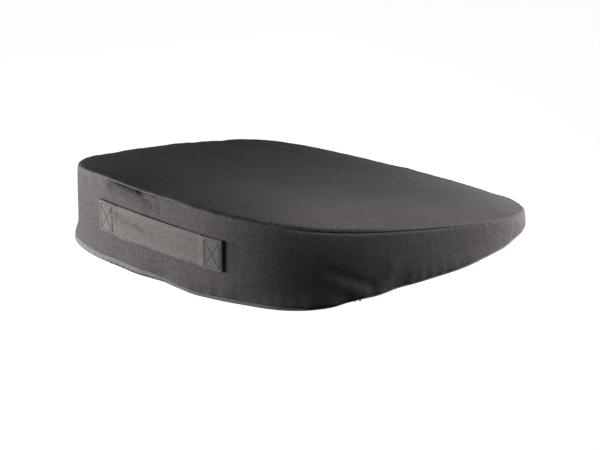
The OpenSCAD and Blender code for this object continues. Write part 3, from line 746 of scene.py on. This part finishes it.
def box_and_cross():
    """Start and end of each stitch of a sewn end, as distance across and height: the box, whose inner side has
    two rows, and its two diagonals."""
    low, high = STRAP_Z - BOX_HALF, STRAP_Z + BOX_HALF
    second = BOX_IN + BOX_ROW_GAP
    rows = [((BOX_IN, low), (BOX_IN, high), 9), ((second, high), (second, low), 9),
            ((BOX_IN, high), (BOX_OUT, high), 6), ((BOX_OUT, high), (BOX_OUT, low), 9),
            ((BOX_OUT, low), (BOX_IN, low), 6), ((BOX_IN, low), (BOX_OUT, high), 11),
            ((BOX_OUT, low), (BOX_IN, high), 11)]
    starts = np.concatenate([np.linspace(a, b, count + 1)[:-1] for a, b, count in rows])
    steps = np.concatenate([np.repeat([(np.array(b) - a) / count], count, 0) for a, b, count in rows])
    return starts + BOX_STITCH_GAP * steps, starts + (1 - BOX_STITCH_GAP) * steps


def handle():
    """The handle: a grip, and on each side a length that runs out to the sewn end, folds under and comes back.
    Each end is sewn with a box and a cross."""
    outer, inner = STRAP_IN + 1.5 * STRAP_T, STRAP_IN + 0.5 * STRAP_T
    grip_x = np.linspace(-GRIP_HALF, GRIP_HALF, 41)
    webbing("handle_grip_webbing", grip_x, np.full(grip_x.size, outer), ("handle_grip",), "handle")
    tip = STRAP_HALF - STRAP_T
    fold = np.radians(np.linspace(0, 180, 9))[1:-1]
    out_x, under_x = np.linspace(GRIP_HALF, tip, 41), np.linspace(tip, FREE_HALF, 16)
    x = np.concatenate([out_x, tip + STRAP_T / 2 * np.sin(fold), under_x])
    stand = np.concatenate([np.full(out_x.size, outer), STRAP_IN + STRAP_T + STRAP_T / 2 * np.cos(fold),
                            np.full(under_x.size, inner)])
    for word, way in (("left", -1), ("right", 1)):
        length = webbing(f"handle_{word}_webbing", way * x, stand, (f"handle_flex_{word}", f"handle_end_{word}"))
        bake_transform(length)
        starts, ends = (np.stack([STRAP_X + way * p[:, 0],
                                  back_y(STRAP_X + way * p[:, 0]) - STRAP_IN - 2 * STRAP_T,
                                  p[:, 1] - STRAP_TILT * way * p[:, 0]], -1) for p in box_and_cross())
        stitches(f"handle_{word}_stitching", starts, ends, np.array([0, -1.0, 0]), (f"handle_thread_{word}",),
                 HANDLE_THREAD_R)


def zip_side(word, side):
    """One side of the zip: its tape, with a cord along the inner edge, and its moulded teeth. The tape's section
    is given as distance from the middle and height in tape thicknesses."""
    section = np.array([(TAPE_OUT, -0.5), (TAPE_IN + 0.0020, -0.5), (TAPE_IN + 0.0012, -0.95), (TAPE_IN, -0.6),
                        (TAPE_IN, 0.6), (TAPE_IN + 0.0012, 0.95), (TAPE_IN + 0.0020, 0.5), (TAPE_OUT, 0.5),
                        (TAPE_OUT, -0.5)])
    x = np.linspace(-ZIP_HALF - TAPE_TUCK, ZIP_HALF + TAPE_TUCK, 121)
    y = ZIP_Y + side * section[:, 0]
    z = ZIP_Z + TAPE_T / 2 + TAPE_T * section[:, 1]
    points = capped(np.stack(np.broadcast_arrays(x[:, None], y, z), -1))
    piece(f"zip_{word}_tape", points, points[..., :2], TAPE, nodes=(f"zip_tape_{word}",),
          closed=True)
    count = int(2 * CHAIN_HALF / TOOTH_PITCH) - 1
    first = -CHAIN_HALF + (0 if side > 0 else TOOTH_PITCH / 2) + TOOTH[0] / 2
    middle = np.stack([first + TOOTH_PITCH * np.arange(count),
                       np.full(count, ZIP_Y + side * (SLIT / 2 + TOOTH[1] / 2)),
                       np.full(count, ZIP_Z + TAPE_T / 2)], -1)
    rounded_blocks(f"zip_{word}_teeth", middle, TOOTH, (f"zip_teeth_{word}",))


def zip_ends_and_sewing():
    """The zip's stops, one wide and two narrow, and the stitching of the tapes."""
    across = np.array([0, SLIT / 2 + TOOTH[1] / 2, -SLIT / 2 - TOOTH[1] / 2])
    at = np.array([-1, 1, 1]) * (CHAIN_HALF + STOP_L / 2 + STOP_GAP)
    sizes = np.array([(STOP_L, wide, TOOTH[2]) for wide in (2 * TAPE_IN, TOOTH[1], TOOTH[1])])
    rounded_blocks("zip_end_stops", np.stack([at, ZIP_Y + across, np.full(3, ZIP_Z + TAPE_T / 2)], -1), sizes,
                   ("zip_stops",))
    steps = (2 * np.arange(ZIP_STITCHES) - ZIP_STITCHES) * ZIP_STITCH_STEP / 2
    edge = RECESS_HALF - ZIP_STITCH_IN
    starts = np.stack([np.tile(steps, 2), np.repeat([ZIP_Y + edge, ZIP_Y - edge], steps.size),
                       np.full(2 * steps.size, ZIP_Z - ZIP_STITCH_PROUD)], -1)
    stitches("zip_tape_stitching", starts, starts + (ZIP_STITCH, 0, 0), np.array([0, 0, -1.0]), ("zip_thread",))


def softened(value, power=0.4):
    """A sine or cosine to a small power with its sign kept."""
    return np.sign(value) * np.abs(value) ** power


def rounded_blocks(name, middle, size, nodes):
    """Moulded blocks with rounded edges: superellipsoids, from the sines and cosines of two angles, each to a
    small power."""
    lat = np.radians(np.linspace(-90, 90, 7))[:, None]
    lon = np.radians(np.linspace(0, 360, 13))
    level = softened(np.cos(lat))
    shape = np.stack(np.broadcast_arrays(level * softened(np.cos(lon)), level * softened(np.sin(lon)),
                                         softened(np.sin(lat))), -1)
    size = np.broadcast_to(size, middle.shape)
    points = middle[:, None, None] + shape * size[:, None, None] / 2
    return piece(name, points, np.zeros(2), ZIP_PLASTIC, nodes=nodes, closed=True, sharp=70)


def cast_part(node, sharp=40):
    """The slider or the pull: the solid's own shape with its edges rounded over."""
    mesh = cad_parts[node].data.copy()
    work = bmesh.new()
    work.from_mesh(mesh)
    bmesh.ops.remove_doubles(work, verts=work.verts, dist=JOIN)
    bmesh.ops.dissolve_limit(work, angle_limit=np.radians(1), verts=work.verts, edges=work.edges)
    work.to_mesh(mesh)
    work.free()
    mesh.shade_smooth()
    mesh.set_sharp_from_angle(angle=np.radians(sharp))
    made = place_piece(node + "_cast", mesh, ZIP_METAL, node.split("_")[1], (node,))
    edge = made.modifiers.new("rounded edges", "BEVEL")
    edge.width, edge.segments, edge.limit_method, edge.angle_limit = 0.00015, 2, "ANGLE", np.radians(sharp)


wall = side_wall()
top = top_cover()
base_panels = [base_panel("base_cover_front", "base_front", 1), base_panel("base_cover_rear", "base_rear", -1)]
grip_dots("base_dots_front", 1)
grip_dots("base_dots_rear", -1)
foam = foam_wedge()
seam_thread("upper_seam_sewing", "upper_seam_thread", True)
seam_thread("lower_seam_sewing", "lower_seam_thread", False)
handle()
zip_side("front", 1)
zip_side("rear", -1)
zip_ends_and_sewing()
cast_part("zip_slider")
cast_part("zip_pull")


# Floor, light and camera

def seen_ray(tree, path):
    """1 on the rays that show the background: straight to the camera, mirrored or through something clear."""
    shown = sums(tree, "MAXIMUM", path.outputs["Is Camera Ray"], path.outputs["Is Glossy Ray"])
    return sums(tree, "MAXIMUM", shown, path.outputs["Is Transmission Ray"])


def floor():
    """A wide white floor: white to the camera, with the cushion's shadow kept, and clear from below. What lies
    close above it is also lit through it, so that the base can be seen."""
    made, tree, shader = blank("white floor")
    shader.inputs["Base Color"].default_value = (FLOOR_TONE, FLOOR_TONE, FLOOR_TONE, 1)
    shader.inputs["Roughness"].default_value = 1.0
    shader.inputs["Specular IOR Level"].default_value = 0.0
    path = add(tree, "ShaderNodeLightPath")
    glow = add(tree, "ShaderNodeEmission", {"Strength": sums(tree, "MULTIPLY", seen_ray(tree, path), BACKGROUND)})
    both = add(tree, "ShaderNodeAddShader", {0: shader.outputs[0], 1: glow.outputs[0]})
    clear = add(tree, "ShaderNodeBsdfTransparent")
    close = sums(tree, "MULTIPLY", path.outputs["Is Shadow Ray"],
                 sums(tree, "LESS_THAN", path.outputs["Ray Length"], LIT_THROUGH))
    under = sums(tree, "MAXIMUM", add(tree, "ShaderNodeNewGeometry").outputs["Backfacing"], close)
    shown = add(tree, "ShaderNodeMixShader", {0: under, 1: both.outputs[0], 2: clear.outputs[0]})
    tree.links.new(shown.outputs[0], tree.nodes["Material Output"].inputs["Surface"])
    mesh = bpy.data.meshes.new("floor")
    corners = [(x * FLOOR_HALF, y * FLOOR_HALF, FLOOR_Z) for x, y in ((-1, -1), (1, -1), (1, 1), (-1, 1))]
    mesh.from_pydata(corners, [], [(0, 1, 2, 3)])
    mesh.materials.append(made)
    plane = bpy.data.objects.new("floor", mesh)
    bpy.context.scene.collection.objects.link(plane)


def softbox(name, azimuth, height, distance, size, power, colour=(1, 1, 1)):
    """A rectangular soft light, turned to the cushion. Azimuths start behind the handle and grow towards +X."""
    lamp = bpy.data.lights.new(name, "AREA")
    lamp.shape, lamp.size, lamp.size_y, lamp.energy, lamp.color = "RECTANGLE", size[0], size[1], power, colour
    made = bpy.data.objects.new(name, lamp)
    turn = np.radians(azimuth)
    made.location = (distance * np.sin(turn), -distance * np.cos(turn), height)
    made.rotation_euler = (Vector(LAMP_AIM) - made.location).to_track_quat("-Z", "Y").to_euler()
    made.visible_camera = False
    bpy.context.scene.collection.objects.link(made)


def room_light(level):
    """An even dim room, which shows as a white background."""
    world = bpy.data.worlds.new("white room")
    world.use_nodes = True
    tree = world.node_tree
    seen = seen_ray(tree, add(tree, "ShaderNodeLightPath"))
    room = tree.nodes["Background"]
    tree.links.new(sums(tree, "MULTIPLY_ADD", seen, BACKGROUND - level, level), room.inputs["Strength"])
    room.inputs["Color"].default_value = (1, 1, 1, 1)
    bpy.context.scene.world = world


def camera():
    """The photograph's view, from behind the handle and to its right, from a little above, through a long
    lens."""
    turn, rise = np.radians(VIEW_TURN), np.radians(VIEW_RISE)
    back = Vector((np.sin(turn) * np.cos(rise), -np.cos(turn) * np.cos(rise), np.sin(rise)))
    lens = bpy.data.cameras.new("camera")
    lens.sensor_fit, lens.sensor_width, lens.lens = "HORIZONTAL", SENSOR_MM, LENS_MM
    lens.clip_start, lens.clip_end = 0.05, 50.0
    made = bpy.data.objects.new("camera", lens)
    made.location = Vector(VIEW_AIM) + back * VIEW_DISTANCE
    made.rotation_mode = "QUATERNION"
    made.rotation_quaternion = (-back).to_track_quat("-Z", "Y")
    bpy.context.scene.collection.objects.link(made)
    bpy.context.scene.camera = made


floor()
softbox("left softbox", -33, 0.130, 0.65, (0.48, 0.08), 6.1)
softbox("right softbox", 141, 0.052, 0.42, (0.36, 0.08), 2.8, (0.99, 1.0, 0.975))
softbox("top softbox", 76, 0.19, 0.18, (0.30, 0.20), 0.39)
softbox("back softbox", 248, 0.04, 0.80, (0.60, 0.08), 0.90)
softbox("base softbox", 0, -0.60, 0.01, (0.30, 0.30), 1.6)
room_light(0.005)
camera()
bpy.context.scene.view_settings.view_transform = "Standard"
